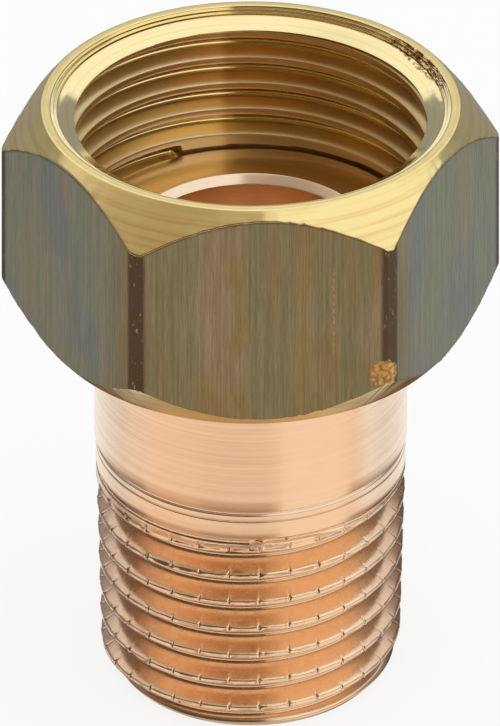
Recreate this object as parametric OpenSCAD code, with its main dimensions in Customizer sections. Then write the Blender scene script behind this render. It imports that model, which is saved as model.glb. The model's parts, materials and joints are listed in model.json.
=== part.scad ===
// Flat-faced swivel pipe union: a hexagon nut that turns freely on a tailpiece.
// The tail stands on its threaded end at the origin, with the nut's mouth upwards.
// Diameters grow outwards from the tail's thread: neck, collar, nut thread, hexagon.

/* [Threads] */
// Pitch of both threads (14 turns per inch)
thread_pitch = 1.814; // [1.6:0.001:2]
// Diameter of the tapered tail thread at its gauge plane
tail_gauge_d = 20.955; // [18:0.005:24]
// Distance from the tail's end to the gauge plane
tail_gauge_length = 6.4; // [5:0.1:10]
// Length of the tapered thread
tail_thread_length = 13.2; // [10:0.1:15]
// How far the fading thread groove runs on past that length
thread_runout = 0.6; // [0.4:0.05:0.8]

/* [Tailpiece] */
// Length of the tail from its end to the sealing face
tail_length = 28.35; // [26:0.05:36]
// Wall between the waterway and the root of the thread at the tail's end
tail_wall = 1.24; // [1:0.02:2]
// Radial step from the widest crest of the thread out to the neck
neck_rise = 0.11; // [0.02:0.01:0.2]
// Radial step from the neck out to the collar
shoulder_width = 1.14; // [0.8:0.01:2]
// Thickness of the collar
collar_thickness = 2.5; // [1.8:0.1:4]
// Edge break round the collar
collar_break = 0.15; // [0.05:0.05:0.4]
// Depth of the countersinks at both ends of the waterway
countersink_depth = 0.5; // [0.2:0.05:0.7]
// Width of the relief band above the thread
relief_width = 1.7; // [1:0.1:2.5]
// Depth of the relief band below the neck
relief_depth = 0.1; // [0.04:0.01:0.15]
// Depth of the groove line between neck and relief band
line_depth = 0.18; // [0.16:0.02:0.3]
// Width of that groove line
line_width = 0.3; // [0.2:0.02:0.5]
// Radial height of the chamfer at the tail's end
end_chamfer = 1; // [0.6:0.05:1.2]
// Number of notches round each crest of the tail thread
notch_count = 32; // [24:1:40]
// Depth of those notches
notch_depth = 0.3; // [0.1:0.05:0.4]
// Width of those notches at the crest
notch_width = 0.26; // [0.16:0.02:0.6]

/* [Union nut] */
// Height of the nut
nut_height = 14.35; // [13.5:0.05:18]
// Wall between the root of the nut's thread and the flats of the hexagon
nut_wall = 1.788; // [1.5:0.002:3]
// How much the crests of the nut's thread fall short of the full form
crest_cut = 0.14; // [0.04:0.01:0.2]
// How far the corners of the hexagon are turned back
nut_corner_blunt = 0.12; // [0.05:0.01:0.4]
// Distance from the flats in to the rim's outer edge
rim_inset = 0.5; // [0.2:0.05:0.8]
// Distance from the flats in to the edge of the bottom face
base_inset = 0.65; // [0.2:0.05:1.2]
// Thickness of the flange behind the collar
flange_thickness = 2.5; // [1.8:0.1:4]
// How far the lip's foot stands outside the thread's root
lip_margin = 0.08; // [0.02:0.01:0.12]
// How far the lip flares out from its foot up to the rim
lip_flare = 0.55; // [0.3:0.05:0.6]
// Depth of the lip below the rim
lip_depth = 0.33; // [0.2:0.01:0.5]
// Depth below the rim at which the entry cone ends
entry_depth = 0.98; // [0.7:0.02:1.4]

/* [Clearances] */
// Radial gap between the collar and the crests of the nut's thread
collar_clearance = 0.25; // [0.08:0.01:0.3]
// Radial gap between the collar and the nut's recess
recess_clearance = 0.35; // [0.3:0.05:0.6]
// Radial gap between the neck and the hole in the flange
neck_clearance = 0.25; // [0.1:0.05:0.4]
// Axial gap between the collar and the flange
seat_gap = 0.2; // [0.1:0.05:0.4]
// Depth of the sealing face below the end of the nut's thread
face_setback = 0.1; // [0.05:0.05:0.6]

/* [Hidden] */
$fn = 96;

// 55 degree thread form, cut flat by a sixth of the pitch at crest and root
flank_slope = tan(27.5);
thread_depth = 0.640327 * thread_pitch;
crest_flat = thread_pitch / 6;
steps_per_turn = 32;
// How far cutting shapes reach past the surface that they open
cut_over = 0.2;

// Taper of the tail thread, 1 in 16 on the diameter
taper = 1 / 32;
function tail_crest_r(z) = tail_gauge_d / 2 + (z - tail_gauge_length) * taper;

// Radii from the waterway out to the hexagon
bore_r = tail_crest_r(0) - thread_depth - tail_wall;
neck_r = tail_crest_r(tail_thread_length) + neck_rise;
relief_r = neck_r - relief_depth;
hole_r = neck_r + neck_clearance;
collar_r = neck_r + shoulder_width;
recess_r = collar_r + recess_clearance;
union_minor_r = collar_r + collar_clearance;
union_major_r = union_minor_r + thread_depth - crest_cut;
lip_r = union_major_r + lip_margin;
mouth_r = lip_r + lip_flare;
flat_r = union_major_r + nut_wall;
rim_r = flat_r - rim_inset;
base_r = flat_r - base_inset;
corner_r = flat_r / cos(30) - nut_corner_blunt;

nut_z = tail_length - collar_thickness - seat_gap - flange_thickness;
nut_top = nut_z + nut_height;
socket_floor = nut_z + flange_thickness;
thread_start = tail_length + face_setback;
thread_end = nut_top - entry_depth;

// Where each thread begins: direction seen from above, and height of the groove's middle
union_first_angle = 111;
union_first_z = thread_start - 0.35;
tail_first_angle = -90;
tail_first_z = 1.7 - 1.5 * thread_pitch;

// Closed skin over a row of sections with the same number of points
module skin(sections) {
  n = len(sections[0]);
  rows = len(sections);
  points = [for (s = sections) each s];
  sides = [for (i = [0 : rows - 2], j = [0 : n - 1])
    let (a = i * n + j, b = i * n + (j + 1) % n)
      each [[a, a + n, b], [b, a + n, b + n]]];
  first = [for (j = [0 : n - 1]) j];
  last = [for (j = [n - 1 : -1 : 0]) (rows - 1) * n + j];
  polyhedron(points = points, faces = concat([first], sides, [last]), convexity = 10);
}

// One section of a thread groove, from its open side to its root
function groove_section(angle, z, root_r, open_r) =
  let (
    narrow = crest_flat / 2,
    wide = narrow + abs(open_r - root_r) * flank_slope,
    outline = [[open_r, -wide], [root_r, -narrow], [root_r, narrow], [open_r, wide]],
    order = open_r > root_r ? [0, 1, 2, 3] : [3, 2, 1, 0]
  )
  [for (k = order)
    [outline[k][0] * cos(angle), outline[k][0] * sin(angle), z + outline[k][1]]];

// Right-hand groove of the parallel thread, from the recess out through the mouth
module union_groove() {
  last_z = nut_top + thread_pitch / 2;
  steps = ceil((last_z - union_first_z) / thread_pitch * steps_per_turn);
  skin([for (i = [0 : steps])
    let (turn = i / steps_per_turn)
      groove_section(union_first_angle + 360 * turn, union_first_z + thread_pitch * turn,
        union_major_r, union_minor_r - cut_over)]);
}

// Right-hand groove of the tapered thread, fading out over its last turn
module tail_groove() {
  last_z = tail_thread_length + thread_runout;
  fade_z = last_z - 0.8 * thread_pitch;
  steps = ceil((last_z - tail_first_z) / thread_pitch * steps_per_turn);
  skin([for (i = [0 : steps])
    let (
      turn = i / steps_per_turn,
      z = tail_first_z + thread_pitch * turn,
      open_r = tail_crest_r(z) + cut_over,
      fade = max(0, (z - fade_z) / (last_z - fade_z))
    )
      groove_section(tail_first_angle + 360 * turn, z,
        open_r - cut_over - (1 - fade) * thread_depth, open_r)]);
}

// Notches across the crests of the tail thread, which grip the sealing fibre
module crest_notches() {
  notch_top = tail_thread_length - thread_pitch / 2;
  open_half = notch_width / 2 * (1 + cut_over / notch_depth);
  for (i = [0 : notch_count - 1])
    rotate([0, 0, tail_first_angle + i * 360 / notch_count])
      translate([tail_crest_r(0), 0, 0])
        rotate([0, atan(taper), 0])
          translate([0, 0, -cut_over])
            linear_extrude(notch_top + cut_over)
              polygon([[-notch_depth, 0], [cut_over, open_half], [cut_over, -open_half]]);
}

// Hexagon with both ends chamfered to a round face
module hexagon_body() {
  intersection() {
    translate([0, 0, nut_z])
      cylinder(r = flat_r / cos(30), h = nut_height, $fn = 6);
    rotate_extrude()
      polygon([
        [0, nut_z], [base_r, nut_z], [corner_r, nut_z + corner_r - base_r],
        [corner_r, nut_top - corner_r + rim_r], [rim_r, nut_top], [0, nut_top]]);
  }
}

// Inside of the nut from the bottom up: hole for the neck, recess for the collar,
// crests of the thread, entry cone and lip
module socket() {
  rotate_extrude()
    polygon([
      [0, nut_z - cut_over], [hole_r, nut_z - cut_over], [hole_r, socket_floor],
      [recess_r, socket_floor], [recess_r, thread_start],
      [union_minor_r, thread_start], [union_minor_r, thread_end],
      [lip_r, nut_top - lip_depth], [mouth_r, nut_top],
      [mouth_r, nut_top + cut_over], [0, nut_top + cut_over]]);
}

// Brass nut that turns on the tail's neck and pulls the collar to its mate
module union_nut() {
  color("darkkhaki")
    difference() {
      hexagon_body();
      socket();
      union_groove();
    }
}

// Outside and waterway of the tail, from the threaded end up to the sealing face
module tail_blank() {
  line_z = tail_thread_length + relief_width;
  neck_top = tail_length - collar_thickness;
  chamfer_r = tail_crest_r(end_chamfer);
  rim_of_bore = bore_r + countersink_depth;
  rotate_extrude()
    polygon([
      [rim_of_bore, 0], [chamfer_r - end_chamfer, 0], [chamfer_r, end_chamfer],
      [tail_crest_r(tail_thread_length), tail_thread_length],
      [relief_r, tail_thread_length], [relief_r, line_z],
      [neck_r - line_depth, line_z], [neck_r - line_depth, line_z + line_width],
      [neck_r, line_z + line_width], [neck_r, neck_top], [collar_r, neck_top],
      [collar_r, tail_length - collar_break], [collar_r - collar_break, tail_length],
      [rim_of_bore, tail_length], [bore_r, tail_length - countersink_depth],
      [bore_r, countersink_depth]]);
}

// Bronze tail: sealing collar, neck, groove line, relief band and tapered thread
module tailpiece() {
  color("peru")
    difference() {
      tail_blank();
      tail_groove();
      crest_notches();
    }
}

union_nut();
tailpiece();
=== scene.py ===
import json
import math
import bmesh
import bpy
from mathutils import Matrix, Vector, noise


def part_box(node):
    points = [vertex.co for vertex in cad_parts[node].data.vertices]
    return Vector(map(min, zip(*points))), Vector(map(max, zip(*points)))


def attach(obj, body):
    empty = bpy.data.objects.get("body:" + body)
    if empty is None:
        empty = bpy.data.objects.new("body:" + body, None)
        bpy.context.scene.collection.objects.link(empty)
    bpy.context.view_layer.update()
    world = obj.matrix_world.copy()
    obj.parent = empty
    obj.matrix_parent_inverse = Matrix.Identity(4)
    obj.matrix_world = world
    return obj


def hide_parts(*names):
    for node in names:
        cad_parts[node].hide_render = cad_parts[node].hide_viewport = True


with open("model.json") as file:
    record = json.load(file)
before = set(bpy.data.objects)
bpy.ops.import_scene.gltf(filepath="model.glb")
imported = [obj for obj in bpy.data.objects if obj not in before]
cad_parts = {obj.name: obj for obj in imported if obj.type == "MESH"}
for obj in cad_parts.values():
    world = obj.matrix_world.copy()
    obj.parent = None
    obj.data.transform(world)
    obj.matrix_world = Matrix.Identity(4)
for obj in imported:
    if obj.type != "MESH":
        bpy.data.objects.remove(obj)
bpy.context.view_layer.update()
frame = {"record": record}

# Pipe union: a brass union nut that turns on a bronze tailpiece, dressed over the CAD frame
# Outlines below are in millimetres, round the upright axis; meshes are scaled to metres
mm = 0.001
mounts = {mount["name"]: mount["dims"] for mount in frame["record"]["mounts"]}
nutLow, nutHigh = (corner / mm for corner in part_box("union_nut"))
tailLow, tailHigh = (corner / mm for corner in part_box("tailpiece"))

pitch = 1.814                  # 14 turns per inch, right-hand
thread = {
    "pitch": pitch,
    "slope": math.tan(math.radians(27.5)),    # half the angle between the flanks
    "flat": pitch / 6,         # width of root and full crest
    "depth": 0.6403 * pitch,
}

cameraSettings = {
    "azimuth": -3.2,           # degrees round the part, 0 looks along +Y
    "distance": 450 * mm,      # level distance from the axis
    "height": 261.4 * mm,      # above the table
    "tilt": 28.26,             # degrees down to the middle of the picture
    "aside": 0.05 * mm,        # step sideways that centres the part
    "lens": 366.8,
}


# A view camera: the film stands upright while the lens looks down, so upright edges stay parallel
def makeCamera(c):
    turn = math.radians(c["azimuth"])
    right = Vector((math.cos(turn), math.sin(turn), 0))
    ahead = Vector((-math.sin(turn), math.cos(turn), 0))
    up = Vector((0, 0, 1))
    tilt = math.radians(c["tilt"])
    back = up * math.sin(tilt) - ahead * math.cos(tilt)
    spot = up * c["height"] - ahead * c["distance"] - right * c["aside"]
    film = Matrix.Identity(4)
    for column, axis in enumerate((right, up, back, spot)):
        for row in range(3):
            film[row][column] = axis[row]
    stand = bpy.data.objects.new("cameraStand", None)
    camera = bpy.data.objects.new("camera", bpy.data.cameras.new("camera"))
    for thing in (stand, camera):
        bpy.context.scene.collection.objects.link(thing)
    camera.parent = stand
    camera.matrix_parent_inverse = film
    camera.data.lens = c["lens"]
    camera.data.clip_start, camera.data.clip_end = 0.01, 20
    bpy.context.scene.camera = camera


makeCamera(cameraSettings)
print("camera placed")


# Small tools for node trees

def add(tree, kind, inputs=None, **settings):
    made = tree.nodes.new("ShaderNode" + kind)
    for name, value in settings.items():
        setattr(made, name, value)
    for name, value in (inputs or {}).items():
        if isinstance(value, bpy.types.NodeSocket):
            tree.links.new(value, made.inputs[name])
        else:
            made.inputs[name].default_value = value
    return made


def sums(tree, operation, *values, clamp=False):
    made = add(tree, "Math", dict(enumerate(values)), operation=operation, use_clamp=clamp)
    return made.outputs[0]


def times(tree, first, *others):
    product = first
    for value in others:
        product = sums(tree, "MULTIPLY", product, value)
    return product


def opposite(tree, share):
    return sums(tree, "SUBTRACT", 1.0, share)


# The first number where share is 0, the second where it is 1
def between(tree, share, first, second):
    return sums(tree, "ADD", times(tree, share, second), times(tree, opposite(tree, share), first))


# A number that goes smoothly from start to end while value goes from low to high
def fade(tree, value, low, high, start=0.0, end=1.0):
    ends = {"Value": value, "From Min": low, "From Max": high, "To Min": start, "To Max": end}
    return add(tree, "MapRange", ends, interpolation_type="SMOOTHSTEP").outputs["Result"]


def blendColours(tree, share, first, second, how="MIX"):
    made = add(tree, "Mix", data_type="RGBA", blend_type=how)
    for index, value in ((0, share), (6, first), (7, second)):
        if isinstance(value, bpy.types.NodeSocket):
            tree.links.new(value, made.inputs[index])
        else:
            made.inputs[index].default_value = value
    return made.outputs[2]


def grain(tree, where, scale, detail=3.0, rough=0.5):
    look = {"Vector": where, "Scale": scale, "Detail": detail, "Roughness": rough}
    return add(tree, "TexNoise", look).outputs[0]


def tint(r, g, b):
    return (r, g, b, 1)


# Places on the piece in millimetres: the point itself, its x, y and z, and its distance from the axis
def places(tree):
    spot = add(tree, "TexCoord").outputs["Object"]
    scaled = add(tree, "VectorMath", {0: spot, "Scale": 1 / mm}, operation="SCALE").outputs[0]
    parts = add(tree, "SeparateXYZ", {0: scaled}).outputs
    x, y, z = parts[0], parts[1], parts[2]
    reach = sums(tree, "SQRT", sums(tree, "ADD", times(tree, x, x), times(tree, y, y)))
    return scaled, x, y, z, reach


# Direction round the axis in degrees
def bearing(tree, x, y):
    return times(tree, sums(tree, "ARCTAN2", y, x), 180 / math.pi)


# Rings and lines left by a turning tool, so many to the millimetre
def toolMarks(tree, z, reach, perMm, wander):
    return pair(tree, times(tree, reach, perMm), times(tree, z, perMm), wander)


def stretched(tree, where, x, y, z):
    return add(tree, "VectorMath", {0: where, 1: (x, y, z)}, operation="MULTIPLY").outputs[0]


def pair(tree, a, b, c=0.0):
    return add(tree, "CombineXYZ", {0: a, 1: b, 2: c}).outputs[0]


def startMaterial(name):
    material = bpy.data.materials.new(name)
    material.use_nodes = True
    tree = material.node_tree
    tree.nodes.clear()
    return material, tree


def finishMetal(tree, colour, roughness, height=None, depth=0.0, metallic=1.0):
    looks = {"Base Color": colour, "Roughness": roughness, "Metallic": metallic}
    if height is not None:
        bump = {"Height": height, "Distance": depth * mm, "Strength": 1.0}
        looks["Normal"] = add(tree, "Bump", bump).outputs[0]
    shader = add(tree, "BsdfPrincipled", looks)
    add(tree, "OutputMaterial", {"Surface": shader.outputs[0]})


# Finishes of the nut

nutFinish = {
    "brass": tint(0.96, 0.785, 0.35),
    "brassDeep": tint(0.86, 0.63, 0.25),
    "coneBrass": tint(0.98, 0.845, 0.47),
    "socketBrass": tint(0.98, 0.82, 0.45),
    "socketDeep": tint(0.98, 0.80, 0.42),
    "worn": tint(0.80, 0.58, 0.30),          # rubbed crests
    "paintedShadeTint": tint(0.80, 0.74, 0.62),      # painted shade: multiplies the socket's right half
    "tornBrass": tint(0.30, 0.15, 0.05),
    "linesPerMm": 2.4,         # turning marks
    "lineDepth": 0.006,
    "oxides": [                # dull colours of the drawn flats
        tint(0.325, 0.360, 0.270),
        tint(0.405, 0.350, 0.260),
        tint(0.290, 0.335, 0.320),
        tint(0.365, 0.280, 0.145),
        tint(0.285, 0.290, 0.165),
    ],
    "soot": tint(0.085, 0.055, 0.040),
    "gold": tint(0.78, 0.50, 0.17),          # bare metal, and where it has dulled
    "dullGold": tint(0.40, 0.24, 0.09),
    "bareSpot": {"angle": -61.4, "height": 26.6, "wide": 0.85, "tall": 0.85},
    "torn": {"angle": 24, "height": 37.25, "wide": 4.5, "tall": 0.3},
    "scratch": {"angle": -72.5, "height": 31.0, "wide": 0.07, "tall": 3.0},
}


# Yellow brass straight from the turning tool: fine rings on chamfers, rim and bottom
def turnedBrass(n):
    material, tree = startMaterial("turnedBrass")
    where, x, y, z, reach = places(tree)
    around = grain(tree, where, 0.25, 1)
    ringSpot = toolMarks(tree, z, reach, n["linesPerMm"], around)
    rings = grain(tree, ringSpot, 1.0, 2, 0.6)
    fine = grain(tree, stretched(tree, ringSpot, 6, 6, 3), 1.0, 1)
    height = sums(tree, "ADD", rings, times(tree, fine, 0.12))
    colour = blendColours(tree, fade(tree, rings, 0.33, 0.6), n["brassDeep"], n["brass"])
    rough = fade(tree, grain(tree, where, 0.8, 4), 0.3, 0.7, 0.16, 0.24)
    finishMetal(tree, colour, rough, height, n["lineDepth"])
    return material


# 1 inside a ragged oval on the skin and 0 outside. A spot gives its middle, as an angle and a height,
# and half its width and height in millimetres, the width as it would be 16 mm from the axis.
def oval(tree, where, turn, z, spot, ragged=0.5):
    across = times(tree, sums(tree, "SUBTRACT", turn, spot["angle"]), 0.28 / spot["wide"])
    along = times(tree, sums(tree, "SUBTRACT", z, spot["height"]), 1 / spot["tall"])
    spread = sums(tree, "ADD", times(tree, across, across), times(tree, along, along))
    uneven = times(tree, grain(tree, where, 3.5, 3, 0.6), ragged * 2)
    return fade(tree, sums(tree, "ADD", spread, uneven), 0.95 + ragged, 1.15 + ragged, 1.0, 0.0)


# The lead-in cone and the stepped lip above it, cut smooth
def coneBrass(n):
    material, tree = startMaterial("coneBrass")
    where, x, y, z, reach = places(tree)
    rings = grain(tree, toolMarks(tree, z, reach, 7.0, grain(tree, where, 0.3, 1)), 1.0, 2)
    colour = blendColours(tree, fade(tree, rings, 0.25, 0.5), n["brass"], n["coneBrass"])
    scraps = fade(tree, grain(tree, where, 2.2, 4, 0.7), 0.42, 0.56)
    torn = times(tree, oval(tree, where, bearing(tree, x, y), z, n["torn"], 0.8), scraps)
    colour = blendColours(tree, torn, colour, n["tornBrass"])
    rough = fade(tree, grain(tree, where, 1.2, 3), 0.3, 0.7, 0.08, 0.14)
    finishMetal(tree, colour, rough, rings, 0.0008)
    return material


# Brass inside the socket, cut by the threading tool: its crests worn and given a painted highlight, and its
# right half darkened by painted shade
def threadBrass(n):
    material, tree = startMaterial("threadBrass")
    where, x, y, z, reach = places(tree)
    lines = grain(tree, toolMarks(tree, z, reach, 5.0, grain(tree, where, 0.3, 1)), 1.0, 2, 0.6)
    crest = nut["crest"]
    # Lighter towards the crests: crest wear together with a painted highlight
    wearAndSheen = fade(tree, reach, crest + 0.05, crest + 0.45, 1.0, 0.0)
    dull = fade(tree, grain(tree, where, 0.5, 3), 0.35, 0.65, 0.0, 0.35)
    share = sums(tree, "SUBTRACT", wearAndSheen, dull, clamp=True)
    colour = blendColours(tree, share, n["socketDeep"], n["socketBrass"])
    colour = blendColours(tree, fade(tree, reach, crest + 0.02, crest + 0.2, 0.85, 0.0), colour, n["worn"])
    turn = bearing(tree, x, y)
    # Painted shade: the right half of the socket is multiplied darker, with a sharp edge near the back
    paintedShadeMask = times(tree, fade(tree, turn, 93.5, 97.5, 1.0, 0.0), fade(tree, turn, -70, -40))
    colour = blendColours(tree, paintedShadeMask, colour, n["paintedShadeTint"], "MULTIPLY")
    rough = sums(tree, "ADD", fade(tree, wearAndSheen, 0.3, 1.0, 0.0, 0.08),
                 fade(tree, reach, crest + 0.75, crest + 0.95, 0.28, 0.14))
    finishMetal(tree, colour, rough, lines, 0.001)
    return material


# Drawn hexagon flats under a dull olive to teal oxide, with upright die marks
def oxideFlats(n):
    material, tree = startMaterial("oxideFlats")
    where, x, y, z, reach = places(tree)
    turn = bearing(tree, x, y)
    sage, rosy, steel, olive, moss = n["oxides"]
    bands = grain(tree, stretched(tree, where, 0.55, 0.55, 0.05), 1.0, 3, 0.6)
    clouds = grain(tree, stretched(tree, where, 0.30, 0.30, 0.16), 1.0, 3)
    patches = grain(tree, stretched(tree, where, 0.21, 0.21, 0.13), 1.0, 2)
    sides = blendColours(tree, fade(tree, bands, 0.46, 0.68), sage, rosy)
    sides = blendColours(tree, fade(tree, patches, 0.45, 0.70), sides, steel)
    face = blendColours(tree, fade(tree, clouds, 0.38, 0.56, 0.35, 1.0), rosy, olive)
    face = blendColours(tree, fade(tree, bands, 0.38, 0.60, 0.8, 0.0), face, moss)
    front = fade(tree, y, -11.5, -14.0)
    oxide = blendColours(tree, front, sides, face)
    streaks = grain(tree, stretched(tree, where, 5, 5, 0.12), 1.0, 4, 0.65)
    fine = grain(tree, stretched(tree, where, 14, 14, 0.9), 1.0, 2, 0.6)
    lighter = blendColours(tree, fade(tree, streaks, 0.35, 0.65), tint(0.83, 0.81, 0.79),
                           tint(1.12, 1.14, 1.12))
    streaked = blendColours(tree, 1.0, oxide, lighter, "MULTIPLY")
    finer = blendColours(tree, fade(tree, fine, 0.3, 0.7), tint(0.88, 0.87, 0.86), tint(1.1, 1.1, 1.1))
    streaked = blendColours(tree, 1.0, streaked, finer, "MULTIPLY")
    chamferEdge = nut["top"] + nut["flat"] - nut["rimInset"]
    belowEdge = sums(tree, "SUBTRACT", chamferEdge, sums(tree, "ADD", z, reach))
    edge = fade(tree, sums(tree, "ADD", belowEdge, times(tree, fine, -0.25)), -0.06, 0.12, 0.7, 0.0)
    corner = fade(tree, sums(tree, "ADD", reach, times(tree, fine, 0.2)),
                  nut["corner"] - 0.22, nut["corner"] - 0.05, 0.0, 0.85)
    chips = fade(tree, grain(tree, stretched(tree, where, 3, 3, 1.2), 1.0, 3, 0.7), 0.60, 0.68)
    colour = blendColours(tree, sums(tree, "MAXIMUM", edge, corner), streaked, n["soot"])
    bareSpot = oval(tree, where, turn, z, n["bareSpot"], 0.8)
    scratch = times(tree, oval(tree, where, turn, z, n["scratch"], 0.2), 0.45)
    bare = sums(tree, "MAXIMUM", sums(tree, "MAXIMUM", bareSpot, times(tree, corner, chips)), scratch)
    # Bare gold, dulled in random patches
    dullingAndShade = fade(tree, grain(tree, where, 4.0, 3), 0.4, 0.6)
    colour = blendColours(tree, bare, colour, blendColours(tree, dullingAndShade, n["dullGold"], n["gold"]))
    rough = fade(tree, streaks, 0.3, 0.7, 0.40, 0.55)
    finishMetal(tree, colour, rough, streaks, 0.003, metallic=0.85)
    return material


# Finishes of the tailpiece

tailFinish = {
    "bronze": tint(0.93, 0.73, 0.54),
    "bronzeDeep": tint(0.90, 0.68, 0.48),
    "dullingAndShade": tint(0.82, 0.77, 0.76),        # painted shade: multiplies the thread's sides
    "paintedDeepShade": tint(0.50, 0.40, 0.34),       # painted shade once more, where it is darkest
    "copper": tint(0.93, 0.68, 0.46),
    "land": tint(0.95, 0.73, 0.52),
    # Painted shade in the hollow above the chip; the same dark brown is also painted on the nick
    "hollowDark": tint(0.35, 0.13, 0.04),
    "chipHollow": {"angle": -9.4, "height": 12.36, "wide": 0.9, "tall": 0.14},    # angles from the front
    "spot": {"angle": -31, "height": 1.25, "wide": 0.18, "tall": 0.28},
}


# Pinkish bronze, satin-turned: collar, neck and waterway
def turnedBronze(t):
    material, tree = startMaterial("turnedBronze")
    where, x, y, z, reach = places(tree)
    lines = grain(tree, toolMarks(tree, z, reach, 6.0, grain(tree, where, 0.2, 1)), 1.0, 3, 0.6)
    stains = grain(tree, stretched(tree, where, 0.4, 0.4, 0.8), 1.0, 4, 0.6)
    colour = blendColours(tree, fade(tree, stains, 0.45, 0.75, 0.0, 0.5), t["bronze"], t["bronzeDeep"])
    rough = fade(tree, lines, 0.3, 0.7, 0.16, 0.24)
    finishMetal(tree, colour, rough, lines, 0.0015)
    return material


# The tapered thread: bright lands, coppery flanks with lines along the cut, and painted shade darkening the
# sides
def threadBronze(t):
    material, tree = startMaterial("threadBronze")
    where, x, y, z, reach = places(tree)
    lines = grain(tree, toolMarks(tree, z, reach, 7.0, grain(tree, where, 0.8, 2)), 1.0, 3, 0.65)
    crest = sums(tree, "ADD", times(tree, z, t["taper"]), t["gauge"] - t["gaugeHeight"] * t["taper"])
    land = fade(tree, sums(tree, "SUBTRACT", crest, reach), 0.02, 0.2, 1.0, 0.0)
    torn = grain(tree, stretched(tree, where, 1.6, 1.6, 3.2), 1.0, 3, 0.6)
    dull = fade(tree, torn, 0.5, 0.75, 0.0, 0.35)
    coppery = blendColours(tree, dull, t["copper"], t["bronzeDeep"])
    colour = blendColours(tree, land, coppery, t["land"])
    # Painted shade: the thread goes darker towards the sides seen from the front, and darkest round to the
    # right
    aside = bearing(tree, times(tree, y, -1.0), x)      # from the front, round to the right
    beside = fade(tree, sums(tree, "ABSOLUTE", aside), 35.5, 57.3)
    colour = blendColours(tree, beside, colour, t["dullingAndShade"], "MULTIPLY")
    darkest = times(tree, fade(tree, aside, 61.9, 74.5), fade(tree, aside, 91.7, 131.8, 1.0, 0.0))
    colour = blendColours(tree, darkest, colour, t["paintedDeepShade"], "MULTIPLY")
    # Painted shade in the chip's hollow, and dark brown on the nick
    darkMarks = [oval(tree, where, aside, z, t[mark], 0.2) for mark in ("chipHollow", "spot")]
    colour = blendColours(tree, sums(tree, "MAXIMUM", *darkMarks), colour, t["hollowDark"])
    rough = fade(tree, torn, 0.3, 0.7, 0.17, 0.28)
    finishMetal(tree, colour, rough, lines, 0.0016)
    return material


# Points of an outline given as corners of (radius, height, softness, cuts, finish).
# Each corner is turned over by its softness, and the stretch after it gets that many cuts.
def outline(corners, turns=4):
    starts, ends = [], []
    last = len(corners) - 1
    for i, (r, z, soft, cuts, finish) in enumerate(corners):
        here = Vector((r, z))
        into = (here - Vector(corners[i - 1][:2])).normalized() if i > 0 else Vector((0, 0))
        away = (Vector(corners[i + 1][:2]) - here).normalized() if i < last else Vector((0, 0))
        starts.append(here - into * soft)
        ends.append(here + away * soft)
    points = []
    for i, (r, z, soft, cuts, finish) in enumerate(corners):
        here = Vector((r, z))
        if soft and 0 < i < last:
            for k in range(turns + 1):
                t = k / turns
                p = starts[i] * (1 - t) ** 2 + here * (2 * t * (1 - t)) + ends[i] * t ** 2
                points.append((p.x, p.y, finish))
        else:
            points.append((r, z, finish))
        if i < last:
            for k in range(1, cuts + 1):
                p = ends[i].lerp(starts[i + 1], k / (cuts + 1))
                points.append((p.x, p.y, finish))
    return points


# The larger of value and nought, with the corner rounded by about soft
def eased(value, soft):
    return (value + math.sqrt(value * value + soft * soft)) / 2


# Depth of a thread groove at a distance along the axis from its middle
def grooveDepth(offset, full, crestSoft, rootSoft):
    sharp = (thread["flat"] / 2 + full * thread["slope"] - abs(offset)) / thread["slope"]
    return max(0.0, full - eased(full - eased(sharp, crestSoft), rootSoft) - crestSoft * 0.05)


# Where a place lies on a helix: distance to the nearest groove's middle, and turns since its start
def onHelix(helix, angle, z):
    turned = (angle - helix["angle"]) / 360
    along = (z - helix["height"]) / thread["pitch"] - turned
    whole = round(along)
    return (along - whole) * thread["pitch"], whole + turned


# Heights of helical rows at one direction, held between low and high
def helixRows(helix, angle, steps, low, high):
    middle = helix["height"] + thread["pitch"] * (angle - helix["angle"]) / 360
    first = math.floor((low - helix["height"]) / thread["pitch"]) - 2
    turns = math.ceil((high - low) / thread["pitch"]) + 4
    rows = []
    for k in range(turns):
        for step in steps:
            rows.append(min(max(middle + (first + k) * thread["pitch"] + step, low), high))
    return rows


# Steps to both sides of a middle; the last one is left out above, where the next turn begins
def bothWays(half):
    return [-step for step in reversed(half)] + [0.0] + half[:-1]


# 1 at the middle, down to nothing at about twice the width away
def near(value, middle, width):
    return math.exp(-((value - middle) / width) ** 2)


# Unevenness between about -1 and 1, the same on every run
def speck(x, y, z, size):
    return noise.noise(Vector((x, y, z)) / size)


# Joins columns of (x, y, z, finish) points into one closed skin
def makeSkin(name, columns, finishes):
    rows = len(columns[0])
    spots = [point[:3] for column in columns for point in column]
    faces, picks = [], []
    for i in range(len(columns) - 1):
        for j in range(rows):
            k = (j + 1) % rows
            faces.append((i * rows + j, i * rows + k, (i + 1) * rows + k, (i + 1) * rows + j))
            picks.append(columns[i][j][3])
    mesh = bpy.data.meshes.new(name)
    mesh.from_pydata([Vector(spot) * mm for spot in spots], [], faces)
    mesh.polygons.foreach_set("material_index", picks)
    for finish in finishes:
        mesh.materials.append(finish)
    form = bmesh.new()
    form.from_mesh(mesh)
    bmesh.ops.remove_doubles(form, verts=form.verts, dist=0.0015 * mm)
    bmesh.ops.dissolve_degenerate(form, edges=form.edges, dist=0.0005 * mm)
    bmesh.ops.recalc_face_normals(form, faces=form.faces)
    for face in form.faces:
        face.smooth = True
    form.to_mesh(mesh)
    form.free()
    piece = bpy.data.objects.new(name, mesh)
    bpy.context.scene.collection.objects.link(piece)
    print(name, len(mesh.polygons), "faces")
    return piece


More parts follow.
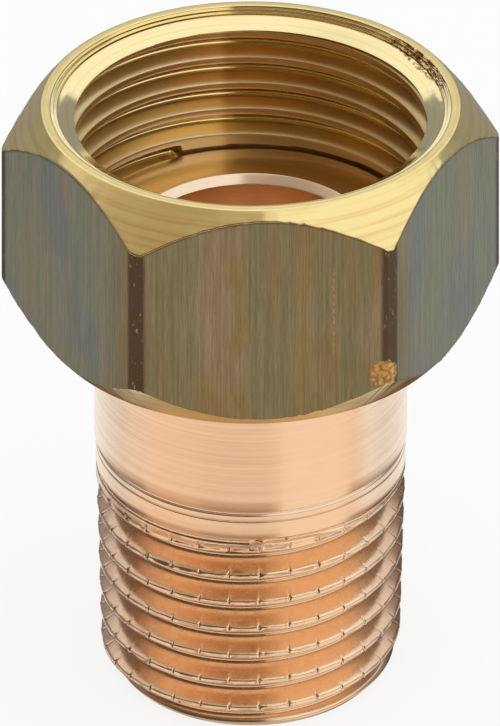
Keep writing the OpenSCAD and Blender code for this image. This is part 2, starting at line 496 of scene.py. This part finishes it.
nut = {
    "flat": nutHigh.y,               # axis to a flat
    "corner": nutHigh.x,             # axis to a blunted corner
    "base": nutLow.z,
    "top": nutHigh.z,
    "bluntAt": 240,                  # this corner is rubbed flatter
    "bluntMore": 0.11,
    "baseInset": 0.65,
    "rimInset": 0.5,
    "rimInner": 13.85,
    "lip": [(13.84, 0.14), (13.62, 0.12), (13.60, 0.31), (13.40, 0.29), (13.38, 0.45), (13.09, 0.54)],
    "entryDepth": 0.96,
    "crest": mounts["union_thread"]["r_mm"],
    "crestCut": 0.11,                # taken off the full depth of the thread
    "threadLow": tailHigh.z + 0.1,
    "recess": 12.29,
    "floor": nutLow.z + 2.5,
    "hole": 11.05,
    "helix": {"angle": 111, "height": tailHigh.z - 0.13},
    # rows at these distances from the middle of each groove
    "steps": bothWays([0.05, 0.1, 0.16, 0.23, 0.31, 0.42, 0.54, 0.64, 0.67, 0.69, 0.71, 0.8, 0.907]),
    "crestSoft": 0.07,
    "rootSoft": 0.22,
    "rowsFrom": tailHigh.z - 1.5,    # the recess below needs no helical rows
    "softEdge": 0.06,
    "torn": {"angle": 24, "spread": 17, "high": 0.12, "tall": 0.6},
    "dieLine": {"angle": 194.0, "depth": 0.06, "width": 0.14},
    "mmPerDegree": 0.27,             # round the flats
}


# Directions of all the columns, from one corner of the hexagon round to itself
def nutAngles():
    half = [1.15 * k for k in range(25)] + [28.3, 28.9, 29.2, 29.5, 30]
    sextant = [-a for a in reversed(half)][1:] + half[1:]
    return [0.0] + [30 + 60 * k + a for k in range(6) for a in sextant]


# One upright cut through the nut: down the socket, under the base, up the outside, back to the cone
def nutColumn(n, angle):
    fromFlat = (angle % 60) - 30
    straight = n["flat"] / math.cos(math.radians(fromFlat))
    corner = n["corner"] - n["bluntMore"] * near(angle, n["bluntAt"], 12)
    side = corner - eased(corner - straight, 0.03)
    baseEdge = n["flat"] - n["baseInset"]
    rimEdge = n["flat"] - n["rimInset"]
    low = n["base"] + side - baseEdge
    high = n["top"] - side + rimEdge
    ragged = 0.05 * speck(angle * 0.5, 3, 0, 0.9) + 0.06 * speck(angle * 1.6, 9, 0, 0.9)
    top, helix = n["top"], n["helix"]
    points = []
    full = thread["depth"] - n["crestCut"]
    zones = ((n["floor"], n["threadLow"], n["recess"]),
             (n["threadLow"], top - n["entryDepth"], n["crest"]))
    for zoneLow, zoneHigh, wall in reversed(zones):
        rows = helixRows(helix, angle, n["steps"], max(zoneLow, n["rowsFrom"]), zoneHigh)
        for z in reversed(rows):
            offset, turned = onHelix(helix, angle, z)
            depth = grooveDepth(offset, full, n["crestSoft"], n["rootSoft"]) if turned >= 0 else 0
            points.append((max(n["crest"] + depth, wall), z, 1))
    softly = n["softEdge"]
    corners = [
        (n["recess"], n["rowsFrom"], 0, 2, 1),
        (n["recess"], n["floor"], 0.05, 3, 0),
        (n["hole"], n["floor"], 0.05, 3, 0),
        (n["hole"], n["base"], softly, 4, 0),
        (baseEdge, n["base"], softly, 4, 0),
        (side, low - ragged, softly, 20, 2),
        (side, high + ragged, softly, 14, 0),
        (rimEdge, top, 0.05, 3, 0),
        (n["rimInner"], top, 0.05, 1, 3),
    ]
    corners += [(r, top - depth, 0.02, 1, 3) for r, depth in n["lip"]]
    coneStart, entry = n["lip"][-1], top - n["entryDepth"]
    cone = outline([(coneStart[0], top - coneStart[1], 0, 6, 3), (n["crest"], entry, 0, 0, 1)])
    lastRow = (n["crest"] + 0.012, entry + 0.0055, 3)      # keeps the cone's shading straight
    return points + outline(corners) + cone[1:-1] + [lastRow, cone[-1]]


# The die line down one flat, and the torn metal at the mouth of the socket
def nutMarks(n, angle, z, finish):
    line, torn = n["dieLine"], n["torn"]
    if finish == 2:
        rough = 0.6 + 0.8 * speck(angle, z, 2, 0.7)
        across = (angle - line["angle"]) * n["mmPerDegree"]
        return -line["depth"] * rough * near(across, 0, line["width"])
    if finish == 3 and n["top"] - torn["tall"] < z < n["top"] - 0.02:
        return torn["high"] * speck(angle * 0.9, z * 4, 4, 0.6) * near(angle, torn["angle"], torn["spread"])
    return 0.0


def makeNut(n):
    finishes = [turnedBrass(nutFinish), threadBrass(nutFinish), oxideFlats(nutFinish), coneBrass(nutFinish)]
    columns = []
    for angle in nutAngles():
        turn = math.radians(angle)
        column = []
        for r, z, finish in nutColumn(n, angle):
            r += nutMarks(n, angle, z, finish)
            column.append((r * math.cos(turn), r * math.sin(turn), z, finish))
        columns.append(column)
    piece = makeSkin("unionNut", columns, finishes)
    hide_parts("union_nut")
    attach(piece, "nut")


makeNut(nut)


tail = {
    "top": tailHigh.z,
    "collar": tailHigh.x,
    "collarThick": 2.5,
    "edgeBreak": 0.15,
    "neck": 10.80,
    "relief": 10.70,
    "lineTop": 15.2,
    "lineLow": 14.9,
    "lineDepth": 0.18,
    "faintLine": 14.5,
    "threadTop": 12.97,
    "lastCut": {                     # shallow groove between the top crest and the relief
        "height": 13.18,
        "half": 0.21,
        "angle": -84,
        "spread": 22,
        "deep": 0.20,
        "faint": 0.05,
    },
    "gauge": mounts["tail_thread"]["r_mm"],
    "gaugeHeight": 6.4,
    "taper": 1 / 32,
    "bore": mounts["waterway"]["r_mm"],
    "countersink": 0.5,
    "chamfer": 1.0,
    "helix": {"angle": -90, "height": 1.7 - 1.5 * pitch},
    "steps": bothWays([0.09, 0.15, 0.22, 0.38, 0.55, 0.68, 0.74, 0.78, 0.84, 0.907]),
    "crestSoft": 0.03,
    "rootSoft": 0.12,
    "fade": (12.45, 13.05),          # heights between which the groove runs out
    "notches": 32,
    "notchDepth": 0.20,
    "notchWidth": 0.085,
    "upperEdge": -0.78,              # of a crest, from the middle of the groove above it
    "burr": 0.05,                    # metal raised beside each notch
    "tear": 0.10,                    # ragged upper edge of the crests
    "tornAbove": 9.9,                # the top crests are torn most
    "scuff": 0.03,
    "proud": 0.03,                   # the most that raised metal stands above a crest
    "chip": {"angle": -99.4, "height": 12.03, "wide": 4.6, "tall": 0.10, "high": 0.30, "hollow": 0.22},
    "nick": {"angle": -121, "height": 1.2, "wide": 0.9, "tall": 0.28, "deep": 0.18},
    "notchSteps": [0.06, 0.12, 0.22, 0.42, 0.68],    # columns on each side of a notch
}


# Directions of all the columns, closer together at each notch
def tailAngles(t):
    gap = 360 / t["notches"]
    halfGap = math.pi * t["gauge"] / t["notches"]
    steps = [-step for step in reversed(t["notchSteps"])] + [0.0] + t["notchSteps"]
    angles = [-90 + gap * (k + 0.5 * step / halfGap) for k in range(t["notches"]) for step in steps]
    return angles + [angles[0] + 360]


def crestAt(t, z):
    return t["gauge"] + (z - t["gaugeHeight"]) * t["taper"]


# How much the notches take off a crest's radius, and how much burrs and torn metal add to it
def crestMarks(t, angle, z, offset, crest):
    gap = 360 / t["notches"]
    across = ((angle + 90 + gap / 2) % gap - gap / 2) * math.pi * crest / 180    # from the nearest notch
    upperEdge = near(offset, t["upperEdge"], 0.10) + near(offset, t["upperEdge"] + pitch, 0.10)
    land = near(abs(offset), pitch / 2, 0.20)
    torn = 1.0 if z > t["tornAbove"] else 0.55
    cut = max(0, 1 - abs(across) / t["notchWidth"]) * (0.35 * land + 0.75 * upperEdge) * t["notchDepth"]
    burr = t["burr"] * near(across, -0.15, 0.05) * upperEdge
    tear = torn * (t["tear"] * speck(angle * 0.9, z * 1.4, 1, 0.8) - 0.03) * upperEdge
    scuff = t["scuff"] * speck(angle * 0.5, z * 2.5, 5, 0.8) * land
    return cut, burr + tear + scuff


# A curled chip below the top crest and a nick near the end
def tailMarks(t, angle, z):
    chip, nick = t["chip"], t["nick"]
    change = 0.0
    if abs(angle - chip["angle"]) < 12 and z > 11:
        beside = 1 / (1 + (abs(angle - chip["angle"]) / chip["wide"]) ** 8)
        ridge = chip["height"] + 0.02 * (angle - chip["angle"])
        change += beside * chip["high"] * near(z, ridge, chip["tall"])
        change -= beside * chip["hollow"] * near(z, chip["height"] + 0.30, 0.14)
    if abs(angle - nick["angle"]) < 5 and z < 3:
        beside = near(angle, nick["angle"], nick["wide"])
        change -= nick["deep"] * beside * near(z, nick["height"], nick["tall"])
    return change


# Radius of the male thread at one place, inside the wall
def threadPoint(t, angle, z, wall):
    offset = onHelix(t["helix"], angle, z)[0]
    fadeLow, fadeHigh = t["fade"]
    share = 1 - min(max((z - offset - fadeLow) / (fadeHigh - fadeLow), 0), 1)
    crest = crestAt(t, z)
    r = crest
    if share > 0.02:
        r -= grooveDepth(offset, thread["depth"] * share, t["crestSoft"], t["rootSoft"])
    if z < t["threadTop"]:
        cut, raised = crestMarks(t, angle, z, offset, crest)
        r = min(r + raised, crest + t["proud"]) - cut + tailMarks(t, angle, z)
    return min(r, wall)


# One upright cut through the tail: up the thread and neck, over the collar, down the waterway
def tailColumn(t, angle):
    points = []
    last = t["lastCut"]
    runout = last["height"] + last["half"] + 0.02
    chamferFoot = crestAt(t, t["chamfer"]) - t["chamfer"]
    for z in helixRows(t["helix"], angle, t["steps"], 0, t["chamfer"]):
        points.append((threadPoint(t, angle, z, chamferFoot + z), z, 1))
    for z in helixRows(t["helix"], angle, t["steps"], t["chamfer"], t["threadTop"]):
        points.append((threadPoint(t, angle, z, t["collar"]), z, 1))
    deep = last["faint"] + last["deep"] / (1 + (abs(angle - last["angle"]) / last["spread"]) ** 6)
    deep *= 1 + 0.5 * speck(angle * 0.4, 7, 3, 1.0)
    for k in range(9):
        z = last["height"] + last["half"] * (k / 4 - 1)
        hollow = deep * min(1, 1.6 * (1 - abs(k / 4 - 1)))
        r = min(threadPoint(t, angle, z, t["relief"]), crestAt(t, z) - hollow)
        points.append((r, z, 1))
    neckLow = t["top"] - t["collarThick"]
    mouth = t["bore"] + t["countersink"]
    groove = t["neck"] - t["lineDepth"]
    corners = [
        (t["relief"], runout, 0.01, 2, 0),
        (t["relief"], t["faintLine"] - 0.06, 0.02, 0, 0),
        (t["relief"] - 0.02, t["faintLine"], 0.02, 0, 0),
        (t["relief"], t["faintLine"] + 0.06, 0.02, 0, 0),
        (t["relief"], t["lineLow"], 0.05, 0, 0),
        (groove, t["lineLow"] + 0.08, 0.03, 0, 0),
        (groove, t["lineTop"] - 0.08, 0.03, 0, 0),
        (t["neck"], t["lineTop"], 0.05, 12, 0),
        (t["neck"], neckLow, 0.03, 1, 0),
        (t["collar"], neckLow, 0.05, 2, 0),
        (t["collar"], t["top"], t["edgeBreak"], 6, 0),
        (mouth, t["top"], 0.03, 2, 0),
        (t["bore"], t["top"] - t["countersink"], 0.04, 14, 0),
        (t["bore"], t["countersink"], 0.04, 1, 0),
        (mouth, 0, 0.03, 1, 0),
        (chamferFoot, 0, 0, 0, 0),
    ]
    return points + outline(corners)[:-1]


def makeTail(t):
    columns = []
    both = {**t, **tailFinish}
    finishes = [turnedBronze(both), threadBronze(both)]
    for angle in tailAngles(t):
        turn = math.radians(angle)
        columns.append([(r * math.cos(turn), r * math.sin(turn), z, finish)
                        for r, z, finish in tailColumn(t, angle)])
    piece = makeSkin("tailBody", columns, finishes)
    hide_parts("tailpiece")
    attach(piece, "tail")


makeTail(tail)


studio = {
    "fill": 0.75,             # light that the walls of the studio throw on dull surfaces
    "skyLow": 24.4,           # degrees up to the lower edge of the overhead light, seen from the part
    "skyFull": 26.2,
    "horizon": 0.33,          # how bright metal sees the room below that edge
    "shade": 0.08,            # and the darker quarter of the room in front on the left
    "shadeFrom": -81,         # direction where that quarter begins
    "foot": 0.36,             # and the floor close to the foot of the part
    "warm": tint(1.0, 0.55, 0.30),        # light that the part throws on that floor
    "brownish": tint(1.0, 0.82, 0.68),    # the dark quarter, and the room low in front
    "cool": tint(0.93, 0.93, 1.0),        # the room low behind
    "lampSpot": (0.25, -0.1, 0.9),
    "lampSize": 0.6,
    "lampPower": 1.6,
    "floorGlow": 0.85,                    # the rest of the floor's white is lit, and takes the shadow
}


# What polished metal sees in each direction: the ceiling light, a dim room behind,
# a darker quarter in front on the left, and a white floor with the part's own shadow on it
def roomGlow(tree, s, direction):
    parts = add(tree, "SeparateXYZ", {0: direction}).outputs
    x, y, z = parts[0], parts[1], parts[2]
    turn = bearing(tree, x, y)
    low, full = math.sin(math.radians(s["skyLow"])), math.sin(math.radians(s["skyFull"]))
    # above the horizon
    behind = fade(tree, z, low, full, s["horizon"], 1.0)
    ahead = fade(tree, z, 0.1, 0.25, 0.5, 1.0)
    inFront = fade(tree, y, -0.2, 0.0, 1.0, 0.0)
    sky = between(tree, inFront, behind, ahead)
    notBack = fade(tree, y, -0.35, 0.75, 1.0, 0.0)
    onLeft = fade(tree, turn, s["shadeFrom"] - 2, s["shadeFrom"] + 2, 1.0, 0.0)
    quarter = times(tree, sums(tree, "MAXIMUM", onLeft, fade(tree, turn, 100, 150)), notBack)
    shade = sums(tree, "ADD", fade(tree, z, 0.5, 0.8, s["shade"], 0.42),
                 fade(tree, z, 0.88, 0.99, 0.0, 0.58))
    upper = between(tree, quarter, sky, shade)
    # below it
    window = times(tree, fade(tree, turn, -78, -70), fade(tree, turn, -18, -6, 1.0, 0.0))
    foot = times(tree, fade(tree, turn, -140, -120, 1.7, 1.0),
                 fade(tree, turn, 0, 40, 1.0, 0.35), s["foot"])
    foot = sums(tree, "MAXIMUM", foot, window)
    steep = times(tree, fade(tree, z, -0.55, -0.505, 1.0, 0.0), fade(tree, z, -0.80, -0.70))
    lower = between(tree, steep, fade(tree, z, -0.8, -0.7, 0.55, 1.0), foot)
    away = fade(tree, y, 0.1, 0.3)
    down = between(tree, away, fade(tree, z, -0.32, -0.14, 1.0, 0.0), fade(tree, z, -0.46, -0.41, 1.0, 0.0))
    glow = between(tree, down, upper, lower)
    # colours of the dim parts
    notDown = opposite(tree, down)
    dim = fade(tree, z, low, full, 1.0, 0.0)
    coolness = times(tree, dim, sums(tree, "SUBTRACT", notDown, inFront, clamp=True))
    colour = blendColours(tree, coolness, tint(1, 1, 1), s["cool"])
    brown = sums(tree, "MAXIMUM", times(tree, quarter, fade(tree, z, 0.88, 0.99, 1.0, 0.0)),
                 times(tree, inFront, fade(tree, z, 0.1, 0.25, 1.0, 0.0)))
    colour = blendColours(tree, brown, colour, s["brownish"])
    warmth = times(tree, steep, down, opposite(tree, window))
    return glow, blendColours(tree, warmth, colour, s["warm"])


def studioWorld(s):
    world = bpy.data.worlds.new("studio")
    bpy.context.scene.world = world
    world.use_nodes = True
    tree = world.node_tree
    tree.nodes.clear()
    glow, colour = roomGlow(tree, s, add(tree, "TexCoord").outputs["Generated"])
    rays = add(tree, "LightPath").outputs
    shiny = sums(tree, "MAXIMUM", rays["Is Glossy Ray"], rays["Is Transmission Ray"])
    seen = rays["Is Camera Ray"]
    dull = opposite(tree, sums(tree, "MAXIMUM", shiny, seen))
    strength = sums(tree, "ADD", seen, times(tree, shiny, glow))
    strength = sums(tree, "ADD", strength, times(tree, dull, s["fill"]))
    shown = blendColours(tree, shiny, tint(1, 1, 1), colour)
    sky = add(tree, "Background", {"Color": shown, "Strength": strength})
    add(tree, "OutputWorld", {"Surface": sky.outputs[0]})


def studioFloor(s):
    mesh = bpy.data.meshes.new("floor")
    reach = 2.0
    mesh.from_pydata([(-reach, -reach, 0), (reach, -reach, 0), (reach, reach, 0), (-reach, reach, 0)], [],
                     [(0, 1, 2, 3)])
    material, tree = startMaterial("palePaper")
    paper = add(tree, "BsdfDiffuse", {"Color": tint(0.92, 0.92, 0.92)})
    white = add(tree, "Emission", {"Color": tint(1, 1, 1), "Strength": 1.0})
    share = times(tree, add(tree, "LightPath").outputs["Is Camera Ray"], s["floorGlow"])
    mixed = add(tree, "MixShader", {0: share, 1: paper.outputs[0], 2: white.outputs[0]})
    add(tree, "OutputMaterial", {"Surface": mixed.outputs[0]})
    mesh.materials.append(material)
    floor = bpy.data.objects.new("floor", mesh)
    floor.visible_glossy = False    # metal sees the room's own glow below the horizon
    bpy.context.scene.collection.objects.link(floor)


def studioLamp(name, spot, size, power):
    lamp = bpy.data.objects.new(name, bpy.data.lights.new(name, "AREA"))
    lamp.data.shape = "SQUARE"
    lamp.data.size = size
    lamp.data.energy = power
    lamp.location = spot
    lamp.rotation_euler = (-Vector(spot)).to_track_quat("-Z", "Y").to_euler()
    lamp.visible_glossy = False
    bpy.context.scene.collection.objects.link(lamp)


studioWorld(studio)
studioFloor(studio)
studioLamp("overheadLamp", studio["lampSpot"], studio["lampSize"], studio["lampPower"])
bpy.context.scene.view_settings.view_transform = "Standard"
print("studio lit")
